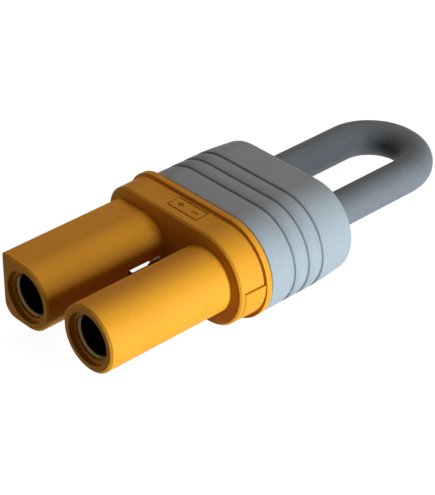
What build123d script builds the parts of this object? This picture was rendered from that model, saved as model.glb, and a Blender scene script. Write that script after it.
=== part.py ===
"""Two-pole battery loop connector: a keyed socket housing, a ridged rubber boot and a cable loop joining the poles."""
import os
from math import tan, pi, radians

from build123d import *

# Frame: the origin is the middle of the mating face, X runs across the poles, +Y towards the cable loop, Z up.
# All sizes are millimetres.

# Poles and socket barrels
pole_pitch = 10.0
barrel_wall = 1.0
barrel_reach = 16.1
rim_bevel_in = 0.28
rim_bevel_back = 0.2
key_top_corner = 0.5
key_bottom_corner = 1.8
mouth_rim = 0.85
mouth_depth = 0.55
lip_overlap = 0.25
lip_thickness = 0.25
relief_length = 5.45
relief_top = 0.3
relief_past_axis = 1.1
relief_floor = 0.9
pocket_ahead = 2.15
pocket_inside = 0.65
pocket_outside = 3.2
pocket_cut_in = 0.3

# Block, flange and rear spigot of the housing
block_height = 11.0
block_length = 3.25
block_corner = 3.8
block_keyed_reach = 0.2
block_draft = 0.06
block_bevel_in = 0.22
block_bevel_back = 0.2
flange_proud = 0.45
flange_thickness = 0.7
flange_edge_round = 0.08
spigot_length = 4.0
pad_proud = 0.26
pad_top = 0.45
pad_setback = 0.3
pad_ramp = 0.35
pad_sink = 0.05

# Engraved polarity marks on top of the block
plate_length = 4.7
plate_width = 1.9
plate_setback = 1.05
mark_line = 0.16
mark_level = 0.16
mark_size = 1.0
mark_spacing = 2.2

# Turned contacts
contact_od = 5.6
contact_bore = 4.5
contact_mouth_chamfer = 0.2
socket_floor = 0.5
neck_od = 4.0
neck_lead = 0.05
neck_past_face = 1.0
cup_stand = 2.0
cup_depth = 6.0
solder_gap = 0.65

# Cable
cable_od = 4.1
conductor_od = 2.9
cable_leg = 13.65
bare_strands = 1.6
conductor_seat = 0.4

# Insulating sleeves over the soldered cups
sleeve_wall = 0.3
sleeve_on_cup = 1.2
sleeve_taper = 1.0
sleeve_on_jacket = 1.8

# Boot
boot_inset = 0.05
boot_wall = 1.4
boot_end_gap = 0.6
boot_rear_wall = 2.7
boot_rear_taper = 0.45
boot_rear_round = 0.9
ridge_first = 3.55
ridge_pitch = 2.05
ridge_count = 3
ridge_depth = 0.25
ridge_run = 0.75
ridge_step = 0.06

# Clearances
contact_clearance = 0.05
strand_clearance = 0.03
sleeve_clearance = 0.04
boot_clearance = 0.1
cable_hole_clearance = 0.05

# Shares: of a half height that a corner may take, and of a run of cable that an arc may take
corner_share = 0.95
arc_share = 0.45

# Sizes across, each from the piece it goes round or stands beside
contact_hole = contact_od / 2 + contact_clearance
barrel_od = 2 * (contact_hole + barrel_wall)
mouth_bore = barrel_od - 2 * mouth_rim
lip_bore = contact_od - 2 * lip_overlap
flange_height = block_height + 2 * flange_proud
flange_corner = block_corner + flange_proud
boot_height = flange_height - 2 * boot_inset
cavity_height = boot_height - 2 * boot_wall
spigot_height = cavity_height - 2 * boot_clearance
strand_hole = conductor_od / 2 + strand_clearance
cup_r = conductor_od / 2 + solder_gap

# Stations along Y
pole = pole_pitch / 2
front = -barrel_reach
boot_front = block_length + flange_thickness
spigot_end = boot_front + spigot_length
contact_front = front + mouth_depth + lip_thickness
neck_start = -(relief_length + neck_lead)
socket_end = neck_start - socket_floor
cup_end = spigot_end + cup_stand
cup_floor = cup_end - cup_depth
conductor_end = cup_floor + conductor_seat
jacket_end = cup_end + bare_strands
sleeve_end = jacket_end + sleeve_on_jacket
boot_cavity_end = sleeve_end + boot_end_gap
boot_rear = boot_cavity_end + boot_rear_wall
bend_start = boot_rear + cable_leg
poles = {"left": -pole, "right": pole}


def across(y):
    """The plane square to Y at this station, drawn with X to the right and Z up."""
    return Plane.XZ.offset(-y)


def beside(x):
    """The flat plane through a pole, for the half section of a turned piece: X outwards, Y along the pole."""
    return Plane(origin=(x, 0, 0), x_dir=(1, 0, 0), z_dir=(0, 0, 1))


def keyed_outline(left, right, half_height, top_corner, bottom_corner):
    """A face whose right end is a half circle about (right, 0) and whose left end is square with two corners."""
    top_corner = min(top_corner, corner_share * half_height)
    bottom_corner = min(bottom_corner, corner_share * half_height)
    side = left - half_height
    with BuildLine() as outline:
        Line((right, half_height), (side + top_corner, half_height))
        CenterArc((side + top_corner, half_height - top_corner), top_corner, 90, 90)
        Line((side, half_height - top_corner), (side, bottom_corner - half_height))
        CenterArc((side + bottom_corner, bottom_corner - half_height), bottom_corner, 180, 90)
        Line((side + bottom_corner, -half_height), (right, -half_height))
        CenterArc((right, 0), half_height, -90, 180)
    make_face(outline.edges())


def barrel_outline(side, inset):
    """The face of one barrel, drawn in by the inset."""
    half_height = barrel_od / 2 - inset
    if side == "left":
        keyed_outline(-pole, -pole, half_height, key_top_corner - inset, key_bottom_corner - inset)
    else:
        with Locations((pole, 0)):
            Circle(half_height)


def stadium(height):
    """A slot-shaped face about both poles."""
    SlotCenterToCenter(pole_pitch, height)


def pole_circles(radius, mode=Mode.ADD):
    with Locations((-pole, 0), (pole, 0)):
        Circle(radius, mode=mode)


# Housing: one moulding of flange, block, two barrels and the spigot that carries the boot
with BuildPart() as housing:
    with BuildSketch(across(boot_front)):
        keyed_outline(-pole, pole, flange_height / 2, flange_corner, flange_corner)
    extrude(amount=flange_thickness)
    fillet(housing.edges().group_by(Axis.Y)[0], flange_edge_round)

    # Block: drawn in a little towards the front, and bevelled round its front face
    for y, inset in ((block_length, 0), (block_bevel_back, block_draft), (0, block_draft + block_bevel_in)):
        with BuildSketch(across(y)):
            corner = block_corner - inset
            keyed_outline(-pole - block_keyed_reach, pole, block_height / 2 - inset, corner, corner)
    loft(ruled=True)

    # Pad on the lower side of the round end: the block's own curve moved out and up, so that it fades out below,
    # with a ramp up to it at its front
    ramp_end = pad_setback + pad_ramp
    for y, inset in ((block_length, 0), (ramp_end, block_draft), (pad_setback, block_draft + pad_proud + pad_sink)):
        with BuildSketch(across(y)):
            with Locations((pole + pad_proud, pad_proud)):
                Circle(block_height / 2 - inset)
            with Locations((pole, pad_top)):
                Rectangle(block_height, block_height, align=(Align.MIN, Align.MAX), mode=Mode.INTERSECT)
    loft(ruled=True)

    # Left barrel is keyed and the right one is round, each with a bevel round its front
    with BuildSketch(across(0)):
        barrel_outline("left", 0)
        barrel_outline("right", 0)
    extrude(amount=barrel_reach - rim_bevel_back)
    for side in poles:
        for y, inset in ((front + rim_bevel_back, 0), (front, rim_bevel_in)):
            with BuildSketch(across(y)):
                barrel_outline(side, inset)
        loft(ruled=True)

    with BuildSketch(across(spigot_end)):
        stadium(spigot_height)
    extrude(amount=spigot_length)

    # Bores: wide mouth, lip, then the long hole that the contact slides into from behind
    with BuildSketch(across(front + mouth_depth)):
        pole_circles(mouth_bore / 2)
    extrude(amount=mouth_depth, mode=Mode.SUBTRACT)
    with BuildSketch(across(contact_front)):
        pole_circles(lip_bore / 2)
    extrude(amount=lip_thickness, mode=Mode.SUBTRACT)
    with BuildSketch(across(spigot_end)):
        pole_circles(contact_hole)
    extrude(amount=spigot_end - contact_front, mode=Mode.SUBTRACT)

    # Relief at each barrel's root, open towards the other barrel, with the barrel's underside left as its floor
    relief_width = pole + relief_past_axis
    relief_height = relief_top + barrel_od / 2 - relief_floor
    for side in (-1, 1):
        with BuildSketch(across(0)):
            with Locations((side * relief_width / 2, relief_top)):
                Rectangle(relief_width, relief_height, align=(Align.CENTER, Align.MAX))
        extrude(amount=relief_length, mode=Mode.SUBTRACT)

    # Pocket under the keyed pole, from the rear half of its relief to the flange, open below and to the contact
    with BuildSketch(across(block_length)):
        with Locations((pocket_inside - pole, pocket_cut_in - contact_hole)):
            Rectangle(pocket_inside + pocket_outside, block_height, align=(Align.MAX, Align.MAX))
    extrude(amount=block_length + pocket_ahead, mode=Mode.SUBTRACT)

    # Polarity marks: a frame with a plus and a minus, all cut down to one level
    plate_y = plate_setback + plate_width / 2
    with BuildSketch(Plane.XY.offset(block_height / 2)):
        with Locations((0, plate_y)):
            Rectangle(plate_length, plate_width)
            Rectangle(plate_length - 2 * mark_line, plate_width - 2 * mark_line, mode=Mode.SUBTRACT)
        with Locations((-mark_spacing / 2, plate_y)):
            Rectangle(mark_size, mark_line)
            Rectangle(mark_line, mark_size)
        with Locations((mark_spacing / 2, plate_y)):
            Rectangle(mark_size, mark_line)
    extrude(amount=-mark_level, mode=Mode.SUBTRACT)


# Contacts: a plain socket in front, a slim neck and a solder cup behind, turned from one bar
def make_contact(x):
    r = contact_od / 2
    with BuildPart() as contact:
        with BuildSketch(beside(x)):
            with BuildLine():
                Polyline(
                    (0, socket_end),
                    (contact_bore / 2, socket_end),
                    (contact_bore / 2, contact_front + contact_mouth_chamfer),
                    (contact_bore / 2 + contact_mouth_chamfer, contact_front),
                    (r, contact_front),
                    (r, neck_start),
                    (neck_od / 2, neck_start),
                    (neck_od / 2, neck_past_face),
                    (r, neck_past_face),
                    (r, cup_end),
                    (cup_r, cup_end),
                    (cup_r, cup_floor),
                    (0, cup_floor),
                    close=True,
                )
            make_face()
        revolve(axis=Axis((x, 0, 0), (0, 1, 0)))
    return contact.part


# Solder: fills each cup around the strands
def make_solder(x):
    with BuildPart() as solder:
        with BuildSketch(across(cup_end)):
            with Locations((x, 0)):
                Circle(cup_r - strand_clearance)
        extrude(amount=cup_depth - strand_clearance)
        with BuildSketch(across(cup_end)):
            with Locations((x, 0)):
                Circle(strand_hole)
        extrude(amount=cup_end - conductor_end + strand_clearance, mode=Mode.SUBTRACT)
    return solder.part


# Sleeve: a shrunk tube over the cup's rear end, tapering down to the end of the jacket
def make_sleeve(x):
    on_cup = contact_od / 2 + sleeve_clearance
    on_jacket = cable_od / 2 + sleeve_clearance
    shoulder = cup_end + sleeve_clearance
    inner = [
        (on_cup, cup_end - sleeve_on_cup),
        (on_cup, shoulder),
        (on_jacket, shoulder + sleeve_taper),
        (on_jacket, sleeve_end),
    ]
    outer = [(r + sleeve_wall, y) for r, y in reversed(inner)]
    with BuildPart() as sleeve:
        with BuildSketch(beside(x)):
            with BuildLine():
                Polyline(*inner, *outer, close=True)
            make_face()
        revolve(axis=Axis((x, 0, 0), (0, 1, 0)))
    return sleeve.part


# Cable: the route's corners are half an octagon about the bend, so that its tube is a near-round U
half_turn = radians(22.5)
reach = pole * tan(half_turn)


def cable_route(start):
    return [
        (-pole, start, 0),
        (-pole, bend_start + reach, 0),
        (-reach, bend_start + pole, 0),
        (reach, bend_start + pole, 0),
        (pole, bend_start + reach, 0),
        (pole, start, 0),
    ]


def make_tube(start, outer, inner):
    """A tube along the route, each corner's arc as large as its two runs allow."""
    radius = arc_share * 2 * reach / tan(half_turn)
    with BuildPart() as tube:
        with BuildLine() as path:
            FilletPolyline(*cable_route(start), radius=radius)
        with BuildSketch(across(start)):
            with Locations((-pole, 0)):
                Circle(outer)
                if inner:
                    Circle(inner, mode=Mode.SUBTRACT)
        sweep(path=path.wire())
    area = pi * (outer**2 - inner**2)
    length = path.wire().length
    print("cable tube:", "volume over section times length", tube.part.volume / (area * length))
    print("cable tube:", "length", length, "bend radius", radius)
    return tube.part


# Boot: a ruled stack of stadium sections with three grooves, hollow inside, with a hole for each leg of the cable
def boot_sections():
    rows = [(boot_front, 0)]
    for k in range(ridge_count):
        crest = boot_front + ridge_first + k * ridge_pitch
        rows.append((crest - ridge_run, 0))
        rows.append((crest - ridge_step, ridge_depth))
        rows.append((crest, 0))
    rows.append((boot_rear, boot_rear_taper))
    return rows


with BuildPart() as boot:
    for y, inset in boot_sections():
        with BuildSketch(across(y)):
            stadium(boot_height - 2 * inset)
    loft(ruled=True)
    fillet(boot.edges().group_by(Axis.Y)[-1], boot_rear_round)
    with BuildSketch(across(boot_cavity_end)):
        stadium(cavity_height)
    extrude(amount=boot_cavity_end - boot_front, mode=Mode.SUBTRACT)
    with BuildSketch(across(boot_rear)):
        pole_circles(cable_od / 2 + cable_hole_clearance)
    extrude(amount=boot_rear_wall, mode=Mode.SUBTRACT)


def save(part, name):
    part.label = name
    export_step(part, f"parts/{name}.step")


os.makedirs("parts", exist_ok=True)
save(housing.part, "housing")
save(boot.part, "boot")
for side, x in poles.items():
    save(make_contact(x), f"contact_{side}")
    save(make_solder(x), f"solder_{side}")
    save(make_sleeve(x), f"sleeve_{side}")
save(make_tube(jacket_end, cable_od / 2, strand_hole), "cable_jacket")
save(make_tube(conductor_end, conductor_od / 2, 0), "cable_conductor")
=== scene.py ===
"""Battery loop connector: surfaces, finishes, light and camera round the fixed model. Metres, +Z up."""
from math import cos, pi, radians, sin

import bpy
import numpy as np
from mathutils import Matrix, Vector


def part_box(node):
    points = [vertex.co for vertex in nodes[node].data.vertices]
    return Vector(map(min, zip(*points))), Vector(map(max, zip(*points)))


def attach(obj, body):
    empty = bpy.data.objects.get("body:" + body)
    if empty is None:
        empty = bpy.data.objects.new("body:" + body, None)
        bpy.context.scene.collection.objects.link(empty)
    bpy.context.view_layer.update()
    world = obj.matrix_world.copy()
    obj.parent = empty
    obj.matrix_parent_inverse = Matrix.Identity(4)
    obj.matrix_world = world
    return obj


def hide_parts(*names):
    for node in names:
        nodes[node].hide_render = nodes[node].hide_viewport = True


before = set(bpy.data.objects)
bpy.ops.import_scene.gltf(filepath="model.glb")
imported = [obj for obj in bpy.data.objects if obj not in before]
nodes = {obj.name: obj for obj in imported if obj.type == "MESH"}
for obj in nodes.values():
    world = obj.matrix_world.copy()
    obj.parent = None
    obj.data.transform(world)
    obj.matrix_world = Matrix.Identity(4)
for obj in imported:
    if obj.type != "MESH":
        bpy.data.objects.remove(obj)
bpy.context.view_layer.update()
MM = 0.001

# Sizes read from the fixed model
boot_low, boot_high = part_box("boot")
jacket_low, jacket_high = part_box("cable_jacket")
boot_half = boot_high.z
pole = boot_high.x - boot_half
boot_front = boot_low.y
boot_rear = boot_high.y
cable_radius = jacket_high.z
jacket_end = jacket_low.y
bend_start = jacket_high.y - cable_radius - pole
floor_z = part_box("housing")[0].z
contact_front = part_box("contact_left")[0].y

# The photograph's viewpoint
VIEW_AZIMUTH = radians(47.27)
VIEW_ELEVATION = radians(33.34)
VIEW_TARGET = Vector((-4.666, 10.604, -5.547)) * MM
VIEW_DISTANCE = 228.86 * MM
SENSOR = 36.0
LENS = 148.43
NEAR_LIMIT = 0.01
FAR_LIMIT = 10

# The boot's outside: grooves cut like saw teeth, with soft edges
RIDGE_FIRST = 3.55 * MM
RIDGE_PITCH = 2.05 * MM
RIDGE_COUNT = 3
RIDGE_DEPTH = 0.25 * MM
RIDGE_RUN = 0.75 * MM
RIDGE_STEP = 0.10 * MM
RIDGE_EASE = 1.7
BOOT_WALL = 1.4 * MM
BOOT_FRONT_GAP = 0.16 * MM
BOOT_FRONT_ROUND = 0.12 * MM
BOOT_REAR_TAPER = 0.32 * MM
BOOT_REAR_EASE = 1.4
BOOT_REAR_ROUND = 0.9 * MM
BOOT_CAVITY_END = boot_rear - 2.7 * MM

# Points along each stretch of the boot's profile and of its stadium, and along and round the cable
FRONT_ROUND_POINTS = 7
RIDGE_RUN_POINTS = 12
RIDGE_STEP_POINTS = 5
REAR_TAPER_POINTS = 12
REAR_ROUND_POINTS = 13
REAR_FACE_POINTS = 8
STADIUM_FLAT_POINTS = 20
STADIUM_ARC_POINTS = 72
CABLE_STEPS = 24
CABLE_ROUND_STEPS = 14

# The engraved marks: their floor's level, the frame's size and middle, and the painted shade on that floor
BLOCK_TOP = 5.5 * MM
MARK_DEPTH = 0.16 * MM
MARK_FLOOR = BLOCK_TOP - MARK_DEPTH
PLATE_LENGTH = 4.7 * MM
PLATE_WIDTH = 1.9 * MM
PLATE_MIDDLE = 2.0 * MM
MARK_LEVEL_MARGIN = 0.02 * MM
MARK_SIDE_MARGIN = 0.01 * MM
MARK_PAINTED_SHADE = (0.30, 0.12, 0.009)

# The contacts' bores: stations, from the rim inwards, between which their painted shade comes in
BORE_SHADE_START = -0.3 * MM
BORE_SHADE_END = 0.05 * MM
BORE_PAINTED_SHADE = (0.10, 0.065, 0.032)

# Finishes
SPECKLE_SHARE = 0.35
RING_SCALE = 2500.0
RING_WAVER = 0.6
RING_ROUGHNESS = 0.1
RING_HEIGHT = 0.004 * MM
PLATE_TINT_SCALE = 400.0


def link(obj):
    bpy.context.scene.collection.objects.link(obj)
    return obj


def grid_mesh(name, points):
    """A closed mesh from points [rows, columns, 3]: every column and every row closes round on itself."""
    rows, columns, _ = points.shape
    r = np.arange(rows)[:, None]
    c = np.arange(columns)[None, :]
    next_r = (r + 1) % rows
    next_c = (c + 1) % columns
    here = r * columns
    beyond = next_r * columns
    quads = np.stack([here + c, here + next_c, beyond + next_c, beyond + c], -1)
    mesh = bpy.data.meshes.new(name)
    mesh.from_pydata(points.reshape(-1, 3), [], quads.reshape(-1, 4))
    mesh.polygons.foreach_set("use_smooth", np.ones(rows * columns, bool))
    mesh.update()
    return link(bpy.data.objects.new(name, mesh))


def stadium():
    """Centres along the poles' line and unit directions outwards, once round a stadium from its lowest
    right point: a half turn about the right pole, the top flat, a half turn about the left pole and the
    bottom flat."""
    arc = np.linspace(-pi / 2, pi / 2, STADIUM_ARC_POINTS, endpoint=False)
    flat = np.linspace(pole, -pole, STADIUM_FLAT_POINTS, endpoint=False)
    centre_x = np.concatenate([np.full_like(arc, pole), flat, np.full_like(arc, -pole), -flat])
    out_x = np.concatenate([np.cos(arc), flat * 0, -np.cos(arc), flat * 0])
    out_z = np.concatenate([np.sin(arc), flat * 0 + 1, -np.sin(arc), flat * 0 - 1])
    return centre_x, out_x, out_z


def boot_profile():
    """The boot's wall as stations along Y and distances in from its outside. From the front edge's round
    it runs back along the side. Each groove falls as a power of the way along its run and rises in one
    short step. Behind the last one the side draws in as a power of the way to the rear. Then come the rear
    edge's round, the rear face to the middle, and the cavity's back wall and side to the front again."""
    turn = np.linspace(0, pi / 2, FRONT_ROUND_POINTS)
    start = boot_front + BOOT_FRONT_GAP
    y = list(start + BOOT_FRONT_ROUND * (1 - np.cos(turn)))
    inset = list(BOOT_FRONT_ROUND * (1 - np.sin(turn)))
    fall = np.linspace(0, 1, RIDGE_RUN_POINTS)
    rise = np.linspace(0, 1, RIDGE_STEP_POINTS)[1:]
    for k in range(RIDGE_COUNT):
        crest = boot_front + RIDGE_FIRST + k * RIDGE_PITCH
        y += list(crest - RIDGE_STEP - RIDGE_RUN * (1 - fall))
        inset += list(RIDGE_DEPTH * fall**RIDGE_EASE)
        y += list(crest - RIDGE_STEP * (1 - rise))
        inset += list(RIDGE_DEPTH * (0.5 + 0.5 * np.cos(pi * rise)))
    along = np.linspace(0, 1, REAR_TAPER_POINTS)[1:]
    y += list(crest + (boot_rear - BOOT_REAR_ROUND - crest) * along)
    inset += list(BOOT_REAR_TAPER * along**BOOT_REAR_EASE)
    turn = np.linspace(0, pi / 2, REAR_ROUND_POINTS)[1:]
    y += list(boot_rear - BOOT_REAR_ROUND * (1 - np.sin(turn)))
    inset += list(BOOT_REAR_TAPER + BOOT_REAR_ROUND * (1 - np.cos(turn)))
    depth = np.linspace(0, 1, REAR_FACE_POINTS)[1:]
    y += [boot_rear] * len(depth)
    inset += list(inset[-1] + (boot_half - inset[-1]) * depth)
    y += [BOOT_CAVITY_END] * len(depth)
    inset += list(BOOT_WALL + (boot_half - BOOT_WALL) * (1 - depth))
    y.append(start)
    inset.append(BOOT_WALL)
    return np.array(y), np.array(inset)


def make_boot():
    """The profile carried round the stadium: point = centre + (half height - inset) * direction, at its
    station."""
    centre_x, out_x, out_z = stadium()
    y, inset = boot_profile()
    reach = (boot_half - inset)[:, None]
    x = centre_x + reach * out_x
    z = reach * out_z
    points = np.stack([x, np.broadcast_to(y[:, None], x.shape), z], -1)
    return grid_mesh("boot_cover", points)


def make_cable():
    """A smooth tube along a route of chosen points: the corners of half an octagon round the bend, and one
    more point on each leg near its corner."""
    reach = pole * np.tan(pi / 8)
    route = [
        (-pole, jacket_end),
        (-pole, bend_start - reach),
        (-pole, bend_start + reach),
        (-reach, bend_start + pole),
        (reach, bend_start + pole),
        (pole, bend_start + reach),
        (pole, bend_start - reach),
        (pole, jacket_end),
    ]
    curve = bpy.data.curves.new("cable_loop", "CURVE")
    curve.dimensions = "3D"
    curve.resolution_u = CABLE_STEPS
    curve.bevel_depth = cable_radius
    curve.bevel_resolution = CABLE_ROUND_STEPS
    curve.use_fill_caps = True
    spline = curve.splines.new("NURBS")
    spline.points.add(len(route) - 1)
    for point, (x, y) in zip(spline.points, route):
        point.co = (x, y, 0, 1)
    spline.order_u = 3
    spline.use_endpoint_u = True
    spline.use_smooth = True
    return link(bpy.data.objects.new("cable_loop", curve))


# Shared effects
def new_group(name, inputs, outputs):
    group = bpy.data.node_groups.new(name, "ShaderNodeTree")
    for label, kind, default in inputs:
        socket = group.interface.new_socket(label, in_out="INPUT", socket_type=kind)
        if default is not None:
            socket.default_value = default
    for label, kind in outputs:
        group.interface.new_socket(label, in_out="OUTPUT", socket_type=kind)
    return group, group.nodes.new("NodeGroupInput"), group.nodes.new("NodeGroupOutput")


def math_node(tree, operation, first, second):
    node = tree.nodes.new("ShaderNodeMath")
    node.operation = operation
    for socket, value in zip(node.inputs, (first, second)):
        if isinstance(value, (int, float)):
            socket.default_value = value
        else:
            tree.links.new(value, socket)
    return node.outputs[0]


def noise(tree, vector, scale, detail, roughness=0.5):
    node = tree.nodes.new("ShaderNodeTexNoise")
    node.inputs["Detail"].default_value = detail
    node.inputs["Roughness"].default_value = roughness
    tree.links.new(vector, node.inputs["Vector"])
    if isinstance(scale, (int, float)):
        node.inputs["Scale"].default_value = scale
    else:
        tree.links.new(scale, node.inputs["Scale"])
    return node.outputs["Fac"]


def make_moulded_surface():
    """Cloudy tone over a few millimetres, a fine speckle and a finer grain to raise the surface."""
    group, given, out = new_group(
        "moulded surface",
        [
            ("Vector", "NodeSocketVector", None),
            ("Cloud Scale", "NodeSocketFloat", 180.0),
            ("Grain Scale", "NodeSocketFloat", 6000.0),
        ],
        [("Cloud", "NodeSocketFloat"), ("Speckle", "NodeSocketFloat"), ("Grain", "NodeSocketFloat")],
    )
    links = group.links
    vector = given.outputs["Vector"]
    links.new(noise(group, vector, given.outputs["Cloud Scale"], 3.0), out.inputs["Cloud"])
    speckle_scale = math_node(group, "MULTIPLY", given.outputs["Grain Scale"], SPECKLE_SHARE)
    links.new(noise(group, vector, speckle_scale, 2.0, 0.7), out.inputs["Speckle"])
    links.new(noise(group, vector, given.outputs["Grain Scale"], 2.0), out.inputs["Grain"])
    return group


moulded_surface = make_moulded_surface()


def new_material(name):
    material = bpy.data.materials.new(name)
    material.use_nodes = True
    tree = material.node_tree
    shader = tree.nodes["Principled BSDF"]
    place = tree.nodes.new("ShaderNodeTexCoord")
    return material, tree, shader, place.outputs["Object"]


def mix_colour(tree, factor, first, second):
    node = tree.nodes.new("ShaderNodeMix")
    node.data_type = "RGBA"
    tree.links.new(factor, node.inputs[0])
    node.inputs[6].default_value = (*first, 1)
    node.inputs[7].default_value = (*second, 1)
    return node.outputs[2]


def remap(tree, value, low, high, from_low=0.3, from_high=0.7):
    node = tree.nodes.new("ShaderNodeMapRange")
    tree.links.new(value, node.inputs["Value"])
    node.inputs["From Min"].default_value = from_low
    node.inputs["From Max"].default_value = from_high
    node.inputs["To Min"].default_value = low
    node.inputs["To Max"].default_value = high
    return node.outputs["Result"]


def raise_surface(tree, shader, height, distance, strength=1.0):
    bump = tree.nodes.new("ShaderNodeBump")
    bump.inputs["Strength"].default_value = strength
    bump.inputs["Distance"].default_value = distance
    tree.links.new(height, bump.inputs["Height"])
    tree.links.new(bump.outputs["Normal"], shader.inputs["Normal"])


def moulded_material(name, dark, light, rough_low, rough_high, specular, grain_scale, grain_height):
    """A moulded polymer: its colour drifts between two near tones, and its gloss and grain vary finely."""
    material, tree, shader, place = new_material(name)
    surface = tree.nodes.new("ShaderNodeGroup")
    surface.node_tree = moulded_surface
    surface.inputs["Grain Scale"].default_value = grain_scale
    tree.links.new(place, surface.inputs["Vector"])
    blend = math_node(tree, "ADD", surface.outputs["Cloud"], surface.outputs["Speckle"])
    colour = mix_colour(tree, remap(tree, blend, 0.0, 1.0, 0.6, 1.4), dark, light)
    tree.links.new(colour, shader.inputs["Base Color"])
    tree.links.new(remap(tree, surface.outputs["Speckle"], rough_low, rough_high), shader.inputs["Roughness"])
    shader.inputs["Specular IOR Level"].default_value = specular
    raise_surface(tree, shader, surface.outputs["Grain"], grain_height)
    return material


def within(tree, value, centre, half_width):
    """1 where the value lies within half a width of the centre, else 0."""
    offset = math_node(tree, "SUBTRACT", value, centre)
    return math_node(tree, "LESS_THAN", math_node(tree, "ABSOLUTE", offset, 0), half_width)


def lay_painted_shade(tree, shader, mask, colour):
    """Lays a painted shade colour over the shader's base colour where the mask is 1."""
    link = shader.inputs["Base Color"].links[0]
    node = tree.nodes.new("ShaderNodeMix")
    node.data_type = "RGBA"
    tree.links.new(mask, node.inputs[0])
    tree.links.new(link.from_socket, node.inputs[6])
    node.inputs[7].default_value = (*colour, 1)
    tree.links.new(node.outputs[2], shader.inputs["Base Color"])


def paint_mark_shade(material):
    """Painted shade: a darker colour on the floor of the engraved marks, within the frame's outside, standing
    in for the shade in those recesses.
    """
    tree = material.node_tree
    axes = tree.nodes.new("ShaderNodeSeparateXYZ")
    place = tree.nodes.new("ShaderNodeTexCoord")
    tree.links.new(place.outputs["Object"], axes.inputs[0])
    x, y, z = axes.outputs
    mask = within(tree, z, MARK_FLOOR, MARK_LEVEL_MARGIN)
    across = within(tree, x, 0.0, PLATE_LENGTH / 2 + MARK_SIDE_MARGIN)
    along = within(tree, y, PLATE_MIDDLE, PLATE_WIDTH / 2 + MARK_SIDE_MARGIN)
    mask = math_node(tree, "MULTIPLY", math_node(tree, "MULTIPLY", mask, across), along)
    lay_painted_shade(tree, tree.nodes["Principled BSDF"], mask, MARK_PAINTED_SHADE)


def paint_bore_shade(material):
    """Painted shade: the contact's colour goes dark a short way in from its rim, standing in for the shade
    inside the bore.
    """
    tree = material.node_tree
    axes = tree.nodes.new("ShaderNodeSeparateXYZ")
    place = tree.nodes.new("ShaderNodeTexCoord")
    tree.links.new(place.outputs["Object"], axes.inputs[0])
    start = contact_front + BORE_SHADE_START
    end = contact_front + BORE_SHADE_END
    mask = remap(tree, axes.outputs[1], 0.0, 1.0, start, end)
    lay_painted_shade(tree, tree.nodes["Principled BSDF"], mask, BORE_PAINTED_SHADE)


def turned_metal(name, dark, light, roughness):
    """Plated metal with fine turning rings square to Y."""
    material, tree, shader, place = new_material(name)
    rings = tree.nodes.new("ShaderNodeTexWave")
    rings.wave_type = "BANDS"
    rings.bands_direction = "Y"
    rings.inputs["Scale"].default_value = RING_SCALE
    rings.inputs["Distortion"].default_value = RING_WAVER
    tree.links.new(place, rings.inputs["Vector"])
    tint = noise(tree, place, PLATE_TINT_SCALE, 2.0)
    tree.links.new(mix_colour(tree, tint, dark, light), shader.inputs["Base Color"])
    gloss = remap(tree, rings.outputs["Fac"], roughness, roughness + RING_ROUGHNESS, 0.0, 1.0)
    tree.links.new(gloss, shader.inputs["Roughness"])
    shader.inputs["Metallic"].default_value = 1.0
    raise_surface(tree, shader, rings.outputs["Fac"], RING_HEIGHT)
    return material


nylon = moulded_material(
    "orange nylon", (0.56, 0.223, 0.0133), (0.63, 0.26, 0.0175), 0.52, 0.64, 0.12, 5000.0, 0.006 * MM
)
# The nylon takes painted shade on the floor of its engraved marks.
paint_mark_shade(nylon)
boot_rubber = moulded_material(
    "boot rubber", (0.248, 0.262, 0.276), (0.28, 0.298, 0.315), 0.52, 0.64, 0.12, 5000.0, 0.006 * MM
)
cable_rubber = moulded_material(
    "cable rubber", (0.118, 0.122, 0.130), (0.142, 0.146, 0.156), 0.50, 0.62, 0.12, 4000.0, 0.008 * MM
)
shrink_tube = moulded_material(
    "shrink tube", (0.012, 0.012, 0.013), (0.02, 0.02, 0.022), 0.45, 0.6, 0.35, 3000.0, 0.01 * MM
)
contact_gold = turned_metal("gold plate", (0.70, 0.50, 0.20), (0.80, 0.58, 0.25), 0.22)
# The gold takes painted shade in the contacts' bores.
paint_bore_shade(contact_gold)
solder_metal = turned_metal("solder", (0.50, 0.50, 0.52), (0.62, 0.62, 0.64), 0.35)
strand_copper = turned_metal("copper", (0.80, 0.42, 0.26), (0.88, 0.50, 0.33), 0.30)


def dress(obj, material):
    obj.data.materials.clear()
    obj.data.materials.append(material)


def dress_node(name, material):
    piece = nodes[name]
    if not piece.material_slots:
        piece.data.materials.append(material)
    for slot in piece.material_slots:
        slot.material = material


for name, material in {
    "housing": nylon,
    "contact_left": contact_gold,
    "contact_right": contact_gold,
    "solder_left": solder_metal,
    "solder_right": solder_metal,
    "sleeve_left": shrink_tube,
    "sleeve_right": shrink_tube,
    "cable_conductor": strand_copper,
}.items():
    dress_node(name, material)

boot = make_boot()
dress(boot, boot_rubber)
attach(boot, "root")
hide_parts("boot")

cable = make_cable()
dress(cable, cable_rubber)
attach(cable, "root")
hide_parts("cable_jacket")


# Camera
def look(azimuth, elevation):
    """The camera's right, up and back directions for a view from this azimuth and elevation."""
    back = Vector((sin(azimuth) * cos(elevation), -cos(azimuth) * cos(elevation), sin(elevation)))
    right = Vector((cos(azimuth), sin(azimuth), 0))
    return right, back.cross(right), back


right, up, back = look(VIEW_AZIMUTH, VIEW_ELEVATION)
camera_data = bpy.data.cameras.new("camera")
camera_data.sensor_width = SENSOR
camera_data.lens = LENS
camera_data.clip_start = NEAR_LIMIT
camera_data.clip_end = FAR_LIMIT
camera = link(bpy.data.objects.new("camera", camera_data))
turned = Matrix((right, up, back)).transposed().to_4x4()
camera.matrix_world = Matrix.Translation(VIEW_TARGET + back * VIEW_DISTANCE) @ turned
bpy.context.scene.camera = camera


# Light
LIT_POINT = Vector((0, 10, 0)) * MM


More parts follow.
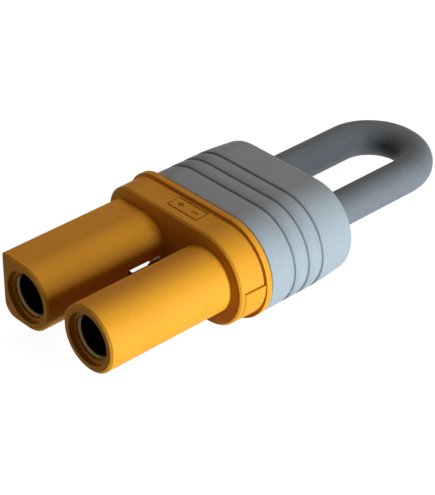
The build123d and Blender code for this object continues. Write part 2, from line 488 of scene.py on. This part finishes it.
def area_light(name, direction, distance, width, height, power, colour):
    """A flat lamp that stands this far from the part in this direction and faces it."""
    data = bpy.data.lights.new(name, "AREA")
    data.shape = "RECTANGLE"
    data.size = width
    data.size_y = height
    data.energy = power
    data.color = colour
    lamp = link(bpy.data.objects.new(name, data))
    towards = Vector(direction).normalized()
    lamp.location = LIT_POINT + towards * distance
    lamp.rotation_mode = "QUATERNION"
    lamp.rotation_quaternion = towards.to_track_quat("Z", "Y")
    return lamp


# A cool key from the round barrel's side, tall and narrow, a dim warm fill from above and behind, and a
# dimmer lamp on the barrels' ends
area_light("key", (0.998, 0.045, -0.026), 0.35, 0.07, 0.34, 3.05, (0.80, 0.93, 1.0))
area_light("fill", (-0.34, 0.3, 0.9), 0.50, 0.36, 0.36, 0.93, (1.0, 0.84, 0.68))
area_light("front", (-0.52, -0.85, -0.06), 0.50, 0.12, 0.12, 0.28, (1.0, 0.93, 0.88))

BACKGROUND_RAYS = ("Is Camera Ray", "Is Glossy Ray", "Is Transmission Ray")
WORLD_LIGHT = 0.045
WORLD_TINT = (1.0, 0.93, 0.90)
FLOOR_GLOW = 0.95
FLOOR_COLOUR = 0.18
FLOOR_HALF = 2.0


def seen_directly(tree):
    """1 for the rays that show the background, 0 for those that light the object."""
    path = tree.nodes.new("ShaderNodeLightPath")
    total = math_node(tree, "MAXIMUM", path.outputs[BACKGROUND_RAYS[0]], path.outputs[BACKGROUND_RAYS[1]])
    return math_node(tree, "MAXIMUM", total, path.outputs[BACKGROUND_RAYS[2]])


world = bpy.data.worlds.new("studio")
world.use_nodes = True
bpy.context.scene.world = world
background = world.node_tree.nodes["Background"]
seen = seen_directly(world.node_tree)
sky_colour = mix_colour(world.node_tree, seen, WORLD_TINT, (1, 1, 1))
world.node_tree.links.new(sky_colour, background.inputs["Color"])
strength = remap(world.node_tree, seen, WORLD_LIGHT, 1.0, 0.0, 1.0)
world.node_tree.links.new(strength, background.inputs["Strength"])


def make_floor():
    """A plain pale floor under the part. It glows for the rays that show it and keeps some of the part's
    shadow. It casts none, because the key lamp reaches below it."""
    mesh = bpy.data.meshes.new("floor")
    low = -FLOOR_HALF
    high = FLOOR_HALF
    corners = [(low, low, floor_z), (high, low, floor_z), (high, high, floor_z), (low, high, floor_z)]
    mesh.from_pydata(corners, [], [(0, 1, 2, 3)])
    floor = link(bpy.data.objects.new("floor", mesh))
    material = bpy.data.materials.new("pale floor")
    material.use_nodes = True
    tree = material.node_tree
    tree.nodes.remove(tree.nodes["Principled BSDF"])
    diffuse = tree.nodes.new("ShaderNodeBsdfDiffuse")
    diffuse.inputs["Color"].default_value = (FLOOR_COLOUR, FLOOR_COLOUR, FLOOR_COLOUR, 1)
    glow = tree.nodes.new("ShaderNodeEmission")
    tree.links.new(math_node(tree, "MULTIPLY", seen_directly(tree), FLOOR_GLOW), glow.inputs["Strength"])
    total = tree.nodes.new("ShaderNodeAddShader")
    tree.links.new(diffuse.outputs[0], total.inputs[0])
    tree.links.new(glow.outputs[0], total.inputs[1])
    tree.links.new(total.outputs[0], tree.nodes["Material Output"].inputs["Surface"])
    dress(floor, material)
    floor.visible_shadow = False
    return floor


make_floor()
bpy.context.scene.view_settings.view_transform = "Standard"
